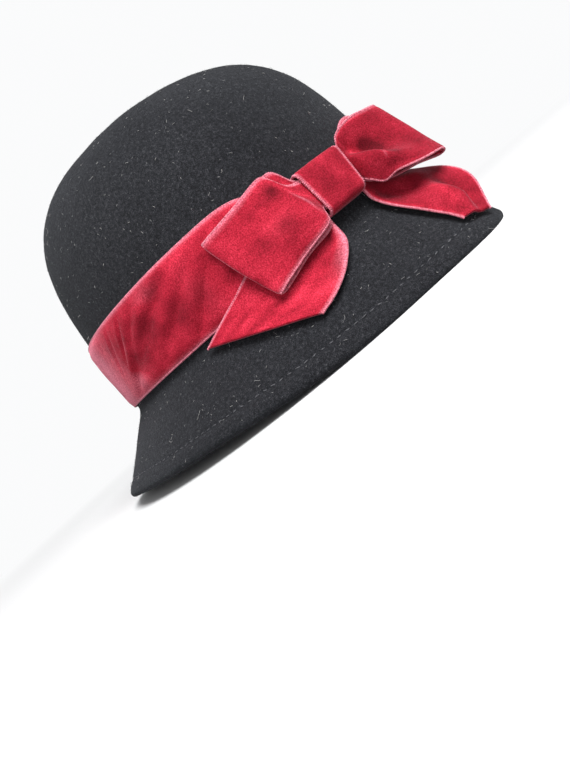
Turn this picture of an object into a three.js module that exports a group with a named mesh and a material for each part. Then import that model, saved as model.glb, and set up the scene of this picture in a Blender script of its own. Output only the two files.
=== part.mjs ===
// A cloche hat of pressed felt with a velvet ribbon band tied in a flat bow.
// Millimetres, +Z up. The hat rests on its brim, its front faces -Y and the
// wearer's left is +X. The origin is under the middle of the brim's outline.

import * as THREE from "three";

// Felt: one pressed piece, crown and brim, open below
const HEAD_LENGTH = 192;
const HEAD_WIDTH = 168;
const FELT = 2;
const CROWN_HEIGHT = 112;
const CROWN_TAPER = 4;
const CROWN_SETBACK = 1.6;
const CROWN_LEAN = 10.8;
const HEADLINE_HEIGHT = 38.3;
const BRIM_FRONT = 25;
const BRIM_BACK = 35;
const BRIM_RIGHT = 32;
const BRIM_LEFT = 23;
const BRIM_RIGHT_LIFT = 7.5;
const BRIM_WAVE = 10;
const WAVE_ANGLE = THREE.MathUtils.degToRad(4);
const WAVE_SPREAD = THREE.MathUtils.degToRad(14);
const BREAK_SOFTNESS = 2.4;
const HEM_WIDTH = 7;
const HEM_FELT = 1.4;

// Bend of the crown's side and of its tip, as powers of a superellipse
const SIDE_POWER = 3.46;
const TIP_POWER = 3.17;

// The felt lies on the table but for the wearer's right, from this angle to the side
const REST_ARC = THREE.MathUtils.degToRad(24);
const REST_FLAT = 0.5;

// Velvet ribbon
const RIBBON_WIDTH = 36;
const RIBBON = 1.2;
const CLEARANCE = 0.35;
const BAND_RISE = 1.6;
const PINCHED_WIDTH = 19;
const PINCH_REACH = 15;

// Bow, measured from the middle of its knot
const KNOT_ANGLE = THREE.MathUtils.degToRad(-10);
const KNOT_WIDTH = 22;
const KNOT_TAPER = 3;
const KNOT_DROP = 3;
const KNOT_CORNER = 2.6;
const LOOP_REACH = 48;
const TAIL_REACH = 75;
const BOW_PUFF = 14;
const FOLD_DEPTH = 3;
const FOLD_SKEW = 0.6;

// Facets
const AROUND = 64;
const CROWN_ROWS = 13;
const BRIM_ROWS = 5;
const EDGE_ROWS = 4;
const BAND_AROUND = 96;
const BAND_ACROSS = 5;
const STRIP_ACROSS = 7;

// A row is a section across the ribbon, from the knot outwards. Out and rise place
// its top and low edges as shares of the piece's reach and of the ribbon's width,
// layer counts the ribbons beneath it, the puffs are shares of BOW_PUFF, and fold is
// the depth of the crease along the ribbon as a share of FOLD_DEPTH.
const SECTION_COLUMNS = [
  "topOut", "topRise", "lowOut", "lowRise", "layer", "topPuff", "midPuff", "lowPuff", "fold",
];
const LOOP_RIGHT = [
  [0.03, 0.2, 0.03, -0.2, 3, 0, 0, 0, 0],
  [0.16, 0.2, 0.16, -0.2, 3, 0, 0, 0, 0],
  [0.235, 0.2, 0.225, -0.19, 3, 0, 0.02, 0, 0],
  [0.34, 0.25, 0.25, -0.26, 3, 0.05, 0.16, 0.1, 0.1],
  [0.425, 0.43, 0.28, -0.335, 3, 0.13, 0.26, 0.22, 0.3],
  [0.455, 0.48, 0.32, -0.365, 3, 0.14, 0.28, 0.26, 0.35],
  [0.75, 0.42, 0.58, -0.585, 3, 0.08, 0.28, 0.32, 0.3],
  [1.045, 0.365, 0.855, -0.715, 3, 0.02, 0.16, 0.2, 0.05],
  [1.08, 0.36, 0.88, -0.715, 2.6, 0, 0.13, 0.17, 0],
  [1.05, 0.365, 0.845, -0.7, 2.1, 0, 0.1, 0.14, 0],
  [0.74, 0.43, 0.555, -0.56, 2, 0.02, 0.12, 0.25, 0],
  [0.41, 0.49, 0.285, -0.395, 2, 0.06, 0.1, 0.16, 0],
  [0.35, 0.475, 0.245, -0.33, 2, 0.06, 0.07, 0.1, 0],
  [0.25, 0.25, 0.23, -0.21, 2, 0.01, 0.01, 0.01, 0],
  [0.16, 0.2, 0.16, -0.2, 2, 0, 0, 0, 0],
  [0.03, 0.2, 0.03, -0.2, 2, 0, 0, 0, 0],
];

const LOOP_LEFT = [
  [0.03, 0.2, 0.03, -0.2, 3, 0, 0, 0, 0],
  [0.16, 0.2, 0.16, -0.2, 3, 0, 0, 0, 0],
  [0.242, 0.225, 0.236, -0.2, 3, 0.01, 0.03, 0.02, 0.1],
  [0.28, 0.345, 0.23, -0.28, 3, 0.16, 0.24, 0.26, 0.8],
  [0.34, 0.385, 0.275, -0.4, 3, 0.36, 0.42, 0.46, 1.5],
  [0.44, 0.395, 0.35, -0.66, 3, 0.54, 0.56, 0.68, 1.3],
  [0.57, 0.37, 0.47, -0.8, 3, 0.66, 0.84, 0.86, 0.5],
  [0.72, 0.35, 0.72, -0.86, 3, 0.75, 1.18, 1, 0],
  [0.775, 0.34, 0.8, -0.86, 2.6, 0.72, 1.14, 0.96, 0],
  [0.765, 0.33, 0.82, -0.835, 2.1, 0.68, 1.04, 0.9, 0],
  [0.66, 0.22, 0.6, -0.72, 2, 0.44, 0.44, 0.7, 0],
  [0.5, 0.22, 0.44, -0.5, 2, 0.18, 0.2, 0.44, 0],
  [0.38, 0.22, 0.33, -0.31, 2, 0.04, 0.06, 0.18, 0],
  [0.24, 0.21, 0.24, -0.21, 2, 0.01, 0.02, 0.02, 0],
  [0.16, 0.2, 0.16, -0.2, 2, 0, 0, 0, 0],
  [0.03, 0.2, 0.03, -0.2, 2, 0, 0, 0, 0],
];

const TAIL_RIGHT = [
  [0.02, 0.17, 0.02, -0.17, 1, 0, 0, 0, 0],
  [0.11, 0.17, 0.1, -0.165, 1, 0, 0, 0, 0],
  [0.16, 0.15, 0.13, -0.17, 1, 0, 0.01, 0.01, 0],
  [0.24, 0.1, 0.138, -0.25, 1, 0.01, 0.01, 0.01, 0],
  [0.33, 0.06, 0.138, -0.42, 1, 0.01, 0.02, 0.03, 0],
  [0.453, -0.035, 0.165, -0.65, 1, 0.01, 0.07, 0.07, 0],
  [0.613, -0.175, 0.273, -0.85, 1, 0.03, 0.14, 0.06, 0],
  [0.798, -0.338, 0.388, -0.99, 1, 0.03, 0.11, 0.04, 0],
  [1.013, -0.57, 0.492, -1.067, 1, 0, 0.05, 0, 0],
];

const TAIL_LEFT = [
  [0.02, 0.17, 0.02, -0.17, 1, 0, 0, 0, 0],
  [0.12, 0.17, 0.115, -0.17, 1, 0, 0, 0, 0],
  [0.168, 0.1, 0.141, -0.29, 1, 0, 0.01, 0.01, 0],
  [0.25, -0.09, 0.15, -0.44, 1, 0.01, 0.03, 0.04, 0],
  [0.35, -0.27, 0.16, -0.67, 1, 0.08, 0.11, 0.07, -0.25],
  [0.5, -0.63, 0.175, -0.86, 1, 0.44, 0.32, 0.06, -0.45],
  [0.49, -0.91, 0.19, -1.03, 1, 0.7, 0.38, 0.05, 0.7],
  [0.45, -1.13, 0.2, -1.165, 1, 0.66, 0.26, 0.03, 1.1],
  [0.31, -1.395, 0.2, -1.275, 1, 0.04, 0.06, 0, 0.15],
];

const halfLength = HEAD_LENGTH / 2 + FELT;
const halfWidth = HEAD_WIDTH / 2 + FELT;
const edgeRadius = (FELT + HEM_FELT) / 2;
const brimEnd = 1.6 * edgeRadius - REST_FLAT;
const bandMiddle = HEADLINE_HEIGHT + BAND_RISE + RIBBON_WIDTH / 2;
const knotHeight = bandMiddle - KNOT_DROP;
const layerPitch = RIBBON + CLEARANCE;

// Each piece gets its own material
function felt() {
  return new THREE.MeshStandardMaterial({ color: 0x1b1c22, roughness: 0.95, metalness: 0 });
}

function velvet() {
  return new THREE.MeshStandardMaterial({ color: 0xb0213c, roughness: 0.75, metalness: 0 });
}

// Middle of a ribbon with that many others between it and the felt
function layerHeight(layer) {
  return CLEARANCE + RIBBON / 2 + layer * layerPitch;
}

// Reach of the brim beyond the headline, smooth through front, sides and back,
// with a wave that stands forward at the front
function brimReach(angle) {
  const mean = (BRIM_FRONT + BRIM_BACK + BRIM_LEFT + BRIM_RIGHT) / 4;
  const oval = (BRIM_FRONT + BRIM_BACK - BRIM_LEFT - BRIM_RIGHT) / 4;
  const forward = (BRIM_FRONT - BRIM_BACK) / 2;
  const sideways = (BRIM_LEFT - BRIM_RIGHT) / 2;
  const fromWave = Math.atan2(Math.sin(angle - WAVE_ANGLE), Math.cos(angle - WAVE_ANGLE));
  return mean
    + forward * Math.cos(angle)
    + sideways * Math.sin(angle)
    + oval * Math.cos(2 * angle)
    + BRIM_WAVE * Math.exp(-((fromWave / WAVE_SPREAD) ** 2));
}

// Height of the brim's edge: it lies on the table and is turned up at the wearer's right
function brimLift(angle) {
  const resting = Math.sin(REST_ARC) ** 2;
  const turned = Math.max(0, (Math.sin(angle) ** 2 - resting) / (1 - resting));
  return Math.sin(angle) < 0 ? BRIM_RIGHT_LIFT * turned ** 1.2 : 0;
}

// Share of the reach gained at a share of the drop, with a soft break at the headline
function flare(drop) {
  const soft = BREAK_SOFTNESS / HEADLINE_HEIGHT;
  const gained = (share) => share - soft * (1 - Math.exp(-share / soft));
  return gained(drop) / gained(1);
}

// Outside of the felt at an angle from the front and a height above the table
function hatPoint(angle, height) {
  const x = halfWidth * Math.sin(angle);
  const y = -halfLength * Math.cos(angle);
  if (height >= HEADLINE_HEIGHT) {
    const share = Math.min(1, (height - HEADLINE_HEIGHT) / CROWN_HEIGHT);
    const taper = 1 - (CROWN_TAPER / halfLength) * share;
    const plan = (1 - share ** SIDE_POWER) ** (1 / TIP_POWER) * taper;
    const lean = (CROWN_LEAN / halfLength) * share ** 2 * y * plan;
    return new THREE.Vector3(x * plan, y * plan + CROWN_SETBACK * share, height + lean);
  }
  const drop = 1 - height / HEADLINE_HEIGHT;
  const reach = brimReach(angle) * flare(drop);
  const z = HEADLINE_HEIGHT - drop * (HEADLINE_HEIGHT - brimLift(angle));
  return new THREE.Vector3(x + reach * Math.sin(angle), y - reach * Math.cos(angle), z);
}

// Outward direction there, taken over a short span so that the break stays soft
function hatNormal(angle, height) {
  const span = 3;
  const turn = span / halfWidth;
  const around = hatPoint(angle + turn, height).sub(hatPoint(angle - turn, height));
  const up = hatPoint(angle, height + span).sub(hatPoint(angle, height - span));
  return around.cross(up).normalize();
}

// A place on the bow: distance round the crown from the knot, height, lift off the felt
function bowPoint(out, height, lift) {
  const angle = KNOT_ANGLE + out / halfWidth;
  return hatPoint(angle, height).addScaledVector(hatNormal(angle, height), lift);
}

// Normals of a grid of points, rows by columns, from its neighbours
function gridNormals(grid, closed) {
  const last = grid.length - 1;
  return grid.map((row, i) => row.map((point, j) => {
    const before = closed ? (j + row.length - 1) % row.length : Math.max(0, j - 1);
    const after = closed ? (j + 1) % row.length : Math.min(row.length - 1, j + 1);
    const across = row[after].clone().sub(row[before]);
    const along = grid[Math.min(last, i + 1)][j].clone().sub(grid[Math.max(0, i - 1)][j]);
    return across.cross(along).normalize();
  }));
}

// A closed body through rings of points: each end is closed by a fan round a point,
// by a flat strip across the ring, or the last ring joins the first
function loft(rings, ends) {
  const count = rings[0].length;
  const points = rings.flat();
  const faces = [];
  const joins = ends.joined ? rings.length : rings.length - 1;
  for (let i = 0; i < joins; i += 1) {
    const next = (i + 1) % rings.length;
    for (let j = 0; j < count; j += 1) {
      const k = (j + 1) % count;
      faces.push([i * count + j, next * count + j, i * count + k]);
      faces.push([i * count + k, next * count + j, next * count + k]);
    }
  }
  const lastRing = (rings.length - 1) * count;
  if (ends.poles) {
    points.push(ends.poles[0], ends.poles[1]);
    const pole = rings.length * count;
    for (let j = 0; j < count; j += 1) {
      const k = (j + 1) % count;
      faces.push([pole, j, k]);
      faces.push([pole + 1, lastRing + k, lastRing + j]);
    }
  }
  if (ends.strips) {
    for (let j = 0; j < count / 2 - 1; j += 1) {
      const far = count - 1 - j;
      faces.push([j, j + 1, far], [j + 1, far - 1, far]);
      faces.push([lastRing + j, lastRing + far, lastRing + j + 1]);
      faces.push([lastRing + j + 1, lastRing + far, lastRing + far - 1]);
    }
  }
  const geometry = new THREE.BufferGeometry().setFromPoints(points);
  geometry.setIndex(faces.flat());
  geometry.computeVertexNormals();
  return geometry;
}

// A ribbon: a sheet of rows given its thickness on both sides
function ribbon(sheet, joined) {
  const normals = gridNormals(joined ? [sheet.at(-1), ...sheet, sheet[0]] : sheet, false);
  const used = joined ? normals.slice(1, -1) : normals;
  const rings = sheet.map((row, i) => {
    const side = (sign) => row.map((p, j) => p.clone().addScaledVector(used[i][j], (sign * RIBBON) / 2));
    return [...side(-1), ...side(1).reverse()];
  });
  return loft(rings, joined ? { joined } : { strips: true });
}

// Point at share t of a smooth curve through a list of points
function alongCurve(points, t) {
  return new THREE.CatmullRomCurve3(points, false, "centripetal").getPoint(t);
}

function anglesAround(count) {
  return Array.from({ length: count }, (_, j) => (j / count) * 2 * Math.PI);
}

function feltBody() {
  const angles = anglesAround(AROUND);
  const crown = Array.from({ length: CROWN_ROWS }, (_, i) => {
    const turn = (Math.PI / 2) * (1 - (i + 0.4) / (CROWN_ROWS - 0.6));
    return HEADLINE_HEIGHT + CROWN_HEIGHT * Math.sin(turn) ** (2 / SIDE_POWER);
  });
  const hemTop = brimEnd + HEM_WIDTH * (HEADLINE_HEIGHT / Math.hypot(HEADLINE_HEIGHT, BRIM_RIGHT));
  const slope = Array.from({ length: BRIM_ROWS }, (_, i) => (
    THREE.MathUtils.lerp(HEADLINE_HEIGHT, hemTop, ((i + 1) / BRIM_ROWS) ** 1.3)
  ));
  const heights = [...crown, ...slope, brimEnd];
  const outer = heights.map((height) => angles.map((angle) => hatPoint(angle, height)));
  const normals = gridNormals(outer, true).map((row) => row.map((n) => n.negate()));
  const offset = (i, depth) => outer[i].map((p, j) => p.clone().addScaledVector(normals[i][j], -depth));
  const last = heights.length - 1;

  // The turned edge is half round, and lies flat where it meets the table
  const edge = Array.from({ length: EDGE_ROWS - 1 }, (_, i) => {
    const turn = (Math.PI * (i + 1)) / EDGE_ROWS;
    return outer[last].map((p, j) => {
      const down = p.clone().sub(outer[last - 1][j]).normalize();
      return p.clone()
        .addScaledVector(normals[last][j], edgeRadius * (Math.cos(turn) - 1))
        .addScaledVector(down, edgeRadius * Math.sin(turn));
    });
  });
  const hem = [offset(last, 2 * edgeRadius), offset(last - 1, 2 * edgeRadius)];
  const inner = heights.slice(0, last).map((_, i) => offset(i, FELT)).reverse();
  const rings = [...outer, ...edge, ...hem, ...inner];
  rings.flat().forEach((p) => {
    p.z = Math.max(0, p.z);
  });
  const top = hatPoint(0, HEADLINE_HEIGHT + CROWN_HEIGHT);
  const poles = [top, top.clone().setZ(top.z - FELT)];
  return new THREE.Mesh(loft(rings, { poles }), felt());
}

// The band is gathered where the knot holds it
function ribbonBand() {
  const held = KNOT_WIDTH / 2 + 2 * RIBBON;
  const sheet = anglesAround(BAND_AROUND).map((turn) => {
    const angle = KNOT_ANGLE + turn;
    const away = Math.min(turn, 2 * Math.PI - turn) * halfWidth;
    const pinch = Math.exp(-((Math.max(0, away - held) / PINCH_REACH) ** 2));
    const width = THREE.MathUtils.lerp(RIBBON_WIDTH, PINCHED_WIDTH, pinch);
    const middle = THREE.MathUtils.lerp(bandMiddle, knotHeight, pinch);
    return Array.from({ length: BAND_ACROSS }, (_, j) => {
      const height = middle + width * (j / (BAND_ACROSS - 1) - 0.5);
      return hatPoint(angle, height).addScaledVector(hatNormal(angle, height), layerHeight(0));
    });
  });
  return new THREE.Mesh(ribbon(sheet, true), velvet());
}

// A loop or a tail through its table of sections; side is +1 to the wearer's left
function bowStrip(rows, reach, side, steps) {
  const table = rows.map((row) => Object.fromEntries(row.map((v, i) => [SECTION_COLUMNS[i], v])));
  const edge = (row, name, puff) => bowPoint(
    side * reach * row[`${name}Out`],
    knotHeight + RIBBON_WIDTH * row[`${name}Rise`],
    layerHeight(row.layer) + BOW_PUFF * puff,
  );
  const top = table.map((row) => edge(row, "top", row.topPuff));
  const low = table.map((row) => edge(row, "low", row.lowPuff));
  const middle = table.map((row) => bowPoint(
    side * reach * (row.topOut + row.lowOut) / 2,
    knotHeight + RIBBON_WIDTH * (row.topRise + row.lowRise) / 2,
    layerHeight(row.layer) + BOW_PUFF * row.midPuff,
  ));
  const ridge = table.map((row, i) => {
    const angle = KNOT_ANGLE + (side * reach * (row.topOut + row.lowOut)) / 2 / halfWidth;
    const height = knotHeight + (RIBBON_WIDTH * (row.topRise + row.lowRise)) / 2;
    return middle[i].clone().addScaledVector(hatNormal(angle, height), FOLD_DEPTH * row.fold);
  });
  const sheet = Array.from({ length: steps + 1 }, (_, i) => {
    const section = [top, middle, low, ridge].map((curve) => alongCurve(curve, i / steps));
    const crease = section[3].clone().sub(section[1]);
    return Array.from({ length: STRIP_ACROSS }, (_, j) => {
      const c = j / (STRIP_ACROSS - 1);
      const turn = 2 * Math.PI * c;
      return new THREE.Vector3()
        .addScaledVector(section[0], (1 - c) * (1 - 2 * c))
        .addScaledVector(section[1], 4 * c * (1 - c))
        .addScaledVector(section[2], c * (2 * c - 1))
        .addScaledVector(crease, -Math.sin(turn - FOLD_SKEW * Math.sin(turn)));
    });
  });
  return new THREE.Mesh(ribbon(side > 0 ? sheet.map((row) => row.reverse()) : sheet, false), velvet());
}

// The knot is a short turn of ribbon over the gathered middle, open towards the felt
function bowKnot() {
  const half = PINCHED_WIDTH / 2 + CLEARANCE + RIBBON / 2;
  const face = layerHeight(4);
  const corner = (side) => [0, 1, 2, 3].map((i) => {
    const turn = (Math.PI / 2) * (i / 3);
    const rise = half - KNOT_CORNER + KNOT_CORNER * Math.cos(turn);
    return [side * rise, face - KNOT_CORNER + KNOT_CORNER * Math.sin(turn)];
  });
  const flat = [0.5, 0, -0.5].map((share) => [share * (half - KNOT_CORNER), face]);
  const leg = (side) => [[side * half, CLEARANCE]];
  const path = [...leg(1), ...corner(1), ...flat, ...corner(-1).reverse(), ...leg(-1)];
  const sheet = path.map(([rise, lift]) => {
    const width = KNOT_WIDTH - KNOT_TAPER * (0.5 - rise / (2 * half));
    return Array.from({ length: STRIP_ACROSS }, (_, j) => {
      const out = width * (0.5 - j / (STRIP_ACROSS - 1));
      return bowPoint(out, knotHeight + rise, lift);
    });
  });
  return new THREE.Mesh(ribbon(sheet, false), velvet());
}

const hat = new THREE.Group();
const pieces = {
  felt_body: feltBody(),
  ribbon_band: ribbonBand(),
  bow_tail_right: bowStrip(TAIL_RIGHT, TAIL_REACH, -1, 12),
  bow_tail_left: bowStrip(TAIL_LEFT, TAIL_REACH, 1, 12),
  bow_loop_right: bowStrip(LOOP_RIGHT, LOOP_REACH, -1, 30),
  bow_loop_left: bowStrip(LOOP_LEFT, LOOP_REACH, 1, 30),
  bow_knot: bowKnot(),
};
Object.entries(pieces).forEach(([name, mesh]) => {
  mesh.name = name;
  hat.add(mesh);
});

// The pieces are made round the crown's axis, and the origin is under the brim's middle
const middle = new THREE.Box3().setFromObject(pieces.felt_body).getCenter(new THREE.Vector3());
hat.position.set(-middle.x, -middle.y, 0);

export default hat;
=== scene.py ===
"""A felt cloche hat with a velvet ribbon band and a flat velvet bow.

The hat rests on its brim. Sizes are millimetres until a mesh is made, +Z is up,
the front of the hat faces -Y and the wearer's left is +X. Angles run round the
crown from the front towards the wearer's left.
"""

import math

import bpy
import numpy as np
from mathutils import Matrix, Vector, noise


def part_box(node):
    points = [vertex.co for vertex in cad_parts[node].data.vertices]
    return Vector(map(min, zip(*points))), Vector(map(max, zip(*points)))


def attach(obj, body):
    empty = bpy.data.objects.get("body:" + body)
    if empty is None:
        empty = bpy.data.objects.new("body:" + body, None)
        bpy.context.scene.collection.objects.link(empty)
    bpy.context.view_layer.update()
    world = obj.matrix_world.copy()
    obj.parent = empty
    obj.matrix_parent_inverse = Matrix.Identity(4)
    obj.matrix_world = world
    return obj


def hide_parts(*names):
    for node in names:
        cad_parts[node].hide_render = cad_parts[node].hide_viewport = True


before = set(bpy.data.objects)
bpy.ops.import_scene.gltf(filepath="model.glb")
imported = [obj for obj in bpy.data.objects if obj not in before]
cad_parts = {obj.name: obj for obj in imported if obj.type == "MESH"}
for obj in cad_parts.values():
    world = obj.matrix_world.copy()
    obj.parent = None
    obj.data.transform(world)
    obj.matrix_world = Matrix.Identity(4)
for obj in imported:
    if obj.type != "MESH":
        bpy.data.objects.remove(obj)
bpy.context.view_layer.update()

MM = 0.001

# Felt: one pressed piece, crown and brim
HEAD_LENGTH = 192
HEAD_WIDTH = 168
FELT = 2
CROWN_HEIGHT = 112
CROWN_TAPER = 4
CROWN_SETBACK = 1.6
CROWN_LEAN = 10.8
HEADLINE_HEIGHT = 38.3
BRIM_FRONT = 25
BRIM_BACK = 35
BRIM_RIGHT = 32
BRIM_LEFT = 23
BRIM_RIGHT_LIFT = 7.5
BRIM_WAVE = 10
WAVE_ANGLE = math.radians(4)
WAVE_SPREAD = math.radians(14)
BREAK_SOFTNESS = 2.4
HEM_WIDTH = 7
HEM_FELT = 1.4
SIDE_POWER = 3.46
TIP_POWER = 3.17
REST_ARC = math.radians(24)
REST_FLAT = 0.5

# Velvet ribbon, and the bow measured from the middle of its knot
RIBBON_WIDTH = 36
RIBBON = 1.2
CLEARANCE = 0.35
BAND_RISE = 1.6
PINCHED_WIDTH = 19
PINCH_REACH = 15
KNOT_ANGLE = math.radians(-10)
KNOT_WIDTH = 22
KNOT_TAPER = 3
KNOT_DROP = 3
KNOT_CORNER = 2.6
LOOP_REACH = 48
TAIL_REACH = 75
BOW_PUFF = 14
FOLD_DEPTH = 3
FOLD_SKEW = 0.6

HALF_LENGTH = HEAD_LENGTH / 2 + FELT
HALF_WIDTH = HEAD_WIDTH / 2 + FELT
EDGE_RADIUS = (FELT + HEM_FELT) / 2
BRIM_END = 1.6 * EDGE_RADIUS - REST_FLAT
HEM_TOP = BRIM_END + HEM_WIDTH * HEADLINE_HEIGHT / math.hypot(HEADLINE_HEIGHT, BRIM_RIGHT)
BAND_MIDDLE = HEADLINE_HEIGHT + BAND_RISE + RIBBON_WIDTH / 2
KNOT_HEIGHT = BAND_MIDDLE - KNOT_DROP
LAYER_PITCH = RIBBON + CLEARANCE

# Sections across the ribbon, from the knot outwards. Out and rise place the top and
# low edges as shares of the piece's reach and of the ribbon's width, layer counts the
# ribbons beneath, the puffs are shares of BOW_PUFF and fold is a share of FOLD_DEPTH.
TOP_OUT, TOP_RISE, LOW_OUT, LOW_RISE, LAYER, TOP_PUFF, MID_PUFF, LOW_PUFF, FOLD = range(9)
LOOP_RIGHT = [
    [0.03, 0.2, 0.03, -0.2, 3, 0, 0, 0, 0],
    [0.16, 0.2, 0.16, -0.2, 3, 0, 0, 0, 0],
    [0.235, 0.2, 0.225, -0.19, 3, 0, 0.02, 0, 0],
    [0.34, 0.25, 0.25, -0.26, 3, 0.05, 0.16, 0.1, 0.1],
    [0.425, 0.43, 0.28, -0.335, 3, 0.13, 0.26, 0.22, 0.3],
    [0.455, 0.48, 0.32, -0.365, 3, 0.14, 0.28, 0.26, 0.35],
    [0.75, 0.42, 0.58, -0.585, 3, 0.08, 0.28, 0.32, 0.3],
    [1.045, 0.365, 0.855, -0.715, 3, 0.02, 0.16, 0.2, 0.05],
    [1.08, 0.36, 0.88, -0.715, 2.6, 0, 0.13, 0.17, 0],
    [1.05, 0.365, 0.845, -0.7, 2.1, 0, 0.1, 0.14, 0],
    [0.74, 0.43, 0.555, -0.56, 2, 0.02, 0.12, 0.25, 0],
    [0.41, 0.49, 0.285, -0.395, 2, 0.06, 0.1, 0.16, 0],
    [0.35, 0.475, 0.245, -0.33, 2, 0.06, 0.07, 0.1, 0],
    [0.25, 0.25, 0.23, -0.21, 2, 0.01, 0.01, 0.01, 0],
    [0.16, 0.2, 0.16, -0.2, 2, 0, 0, 0, 0],
    [0.03, 0.2, 0.03, -0.2, 2, 0, 0, 0, 0],
]
LOOP_LEFT = [
    [0.03, 0.2, 0.03, -0.2, 3, 0, 0, 0, 0],
    [0.16, 0.2, 0.16, -0.2, 3, 0, 0, 0, 0],
    [0.242, 0.225, 0.236, -0.2, 3, 0.01, 0.03, 0.02, 0.1],
    [0.28, 0.345, 0.23, -0.28, 3, 0.16, 0.24, 0.26, 0.95],
    [0.34, 0.385, 0.275, -0.4, 3, 0.36, 0.42, 0.46, 1.8],
    [0.44, 0.395, 0.35, -0.66, 3, 0.54, 0.56, 0.68, 1.6],
    [0.57, 0.37, 0.47, -0.8, 3, 0.66, 0.84, 0.86, 0.7],
    [0.72, 0.35, 0.72, -0.86, 3, 0.75, 1.18, 1, 0],
    [0.775, 0.34, 0.8, -0.86, 2.6, 0.72, 1.14, 0.96, 0],
    [0.765, 0.33, 0.82, -0.835, 2.1, 0.68, 1.04, 0.9, 0],
    [0.66, 0.22, 0.6, -0.72, 2, 0.44, 0.44, 0.7, 0],
    [0.5, 0.22, 0.44, -0.5, 2, 0.18, 0.2, 0.44, 0],
    [0.38, 0.22, 0.33, -0.31, 2, 0.04, 0.06, 0.18, 0],
    [0.24, 0.21, 0.24, -0.21, 2, 0.01, 0.02, 0.02, 0],
    [0.16, 0.2, 0.16, -0.2, 2, 0, 0, 0, 0],
    [0.03, 0.2, 0.03, -0.2, 2, 0, 0, 0, 0],
]
TAIL_RIGHT = [
    [0.02, 0.17, 0.02, -0.17, 1, 0, 0, 0, 0],
    [0.11, 0.17, 0.1, -0.165, 1, 0, 0, 0, 0],
    [0.16, 0.15, 0.13, -0.17, 1, 0, 0.01, 0.01, 0],
    [0.24, 0.1, 0.138, -0.25, 1, 0.01, 0.01, 0.01, 0],
    [0.33, 0.06, 0.138, -0.42, 1, 0.01, 0.02, 0.03, 0],
    [0.453, -0.035, 0.165, -0.65, 1, 0.01, 0.07, 0.07, 0],
    [0.613, -0.175, 0.273, -0.85, 1, 0.03, 0.14, 0.06, 0],
    [0.798, -0.338, 0.388, -0.99, 1, 0.03, 0.11, 0.04, 0],
    [1.013, -0.57, 0.492, -1.067, 1, 0, 0.05, 0, 0],
]
TAIL_LEFT = [
    [0.02, 0.17, 0.02, -0.17, 1, 0, 0, 0, 0],
    [0.12, 0.17, 0.115, -0.17, 1, 0, 0, 0, 0],
    [0.168, 0.1, 0.141, -0.29, 1, 0, 0.01, 0.01, 0],
    [0.25, -0.09, 0.15, -0.44, 1, 0.01, 0.03, 0.04, 0],
    [0.35, -0.27, 0.16, -0.67, 1, 0.08, 0.11, 0.07, -0.25],
    [0.5, -0.63, 0.175, -0.86, 1, 0.44, 0.32, 0.06, -0.45],
    [0.49, -0.91, 0.19, -1.03, 1, 0.7, 0.38, 0.05, 0.7],
    [0.45, -1.13, 0.2, -1.165, 1, 0.66, 0.26, 0.03, 1.1],
    [0.31, -1.395, 0.2, -1.275, 1, 0.04, 0.06, 0, 0.15],
]

# Fineness of the finished surfaces
AROUND = 224
CROWN_ROWS = 64
BRIM_ROWS = 44
EDGE_ROWS = 10
BAND_AROUND = 620
STRIP_STEPS = 110
ACROSS = 30

# Unevenness: of the felt, of its stitched seam, of the band and of the bow
FELT_UNEVEN = 0.7
FELT_LUMP = 42
FELT_DIMPLE = 0.16
SEAM_DEPTH = 0.4
SEAM_WIDTH = 0.9
HEM_STEP = 1.2
HEM_SWELL = 0.35
BAND_LIFT = 1.9
BAND_LUMP = 26
SOFT_LUMP = 11
SOFT_LIFT = 0.3
HELD_SHARES = (0.12, 0.3)

# Ribbon's woven edge: its share of the thickness, how far in it runs, how pale it is
EDGE_THIN = 0.45
EDGE_INSET = 1.6
PALE_INSET = 0.3
EDGE_PALE = 0.75

# Threads and fibres. A stand is how far a fibre's tip rises, a curl how far it bends.
STITCH_PITCH = 3.8
STITCH_LENGTH = 2.3
STITCH_THREAD = 0.42
STITCH_WAVER = 0.3
BEAD_PITCH = 0.8
BEAD_LENGTH = 1.1
BEAD_THREAD = 1.15
BEAD_WAVER = 0.25
LINT_LENGTH = 3.4
LINT_THREAD = 0.065
LINT_STAND = 0.25
LINT_CURL = 2.6
LINT_PER_M2 = 1700.0
FLECK_LENGTH = 1.1
FLECK_STAND = 0.2
FLECK_CURL = 0.8
FLECKS_PER_M2 = 14000.0
NAP_LENGTH = 0.8
NAP_THREAD = 0.022
NAP_STAND = 0.55
NAP_CURL = 0.7
NAP_PER_M2 = 95000.0
SHORT_FIBRE = 0.35
LONG_FIBRE = 1.3

# The photograph's view: f in pixels, the aim is a place in the picture
PHOTO_WIDTH = 570
PHOTO_HEIGHT = 762
FOCAL_PIXELS = 620
AIM_PIXEL = (234.86, 272.52)
AIM_SETBACK = 4.5
AIM_HEIGHT = 60
VIEW_AZIMUTH = math.radians(-38)
VIEW_RISE = math.radians(-4.71)
VIEW_ROLL = math.radians(40.67)
VIEW_DISTANCE = 343.6

# Table and light, in metres and watts
FLOOR_RADIUS = 12.0
FLOOR_FADE = (0.16, 0.6)
TABLE = (0.73, 0.732, 0.736)
SURROUND = (0.962, 0.966, 0.972)
DAYLIGHT = 0.42
LIT_POINT = (0, 0, 0.08)

felt_low, felt_high = (np.array(corner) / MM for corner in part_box("felt_body"))


# The hat's form


def layer_height(layer):
    """Middle of a ribbon with that many others between it and the felt."""
    return CLEARANCE + RIBBON / 2 + layer * LAYER_PITCH


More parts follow.
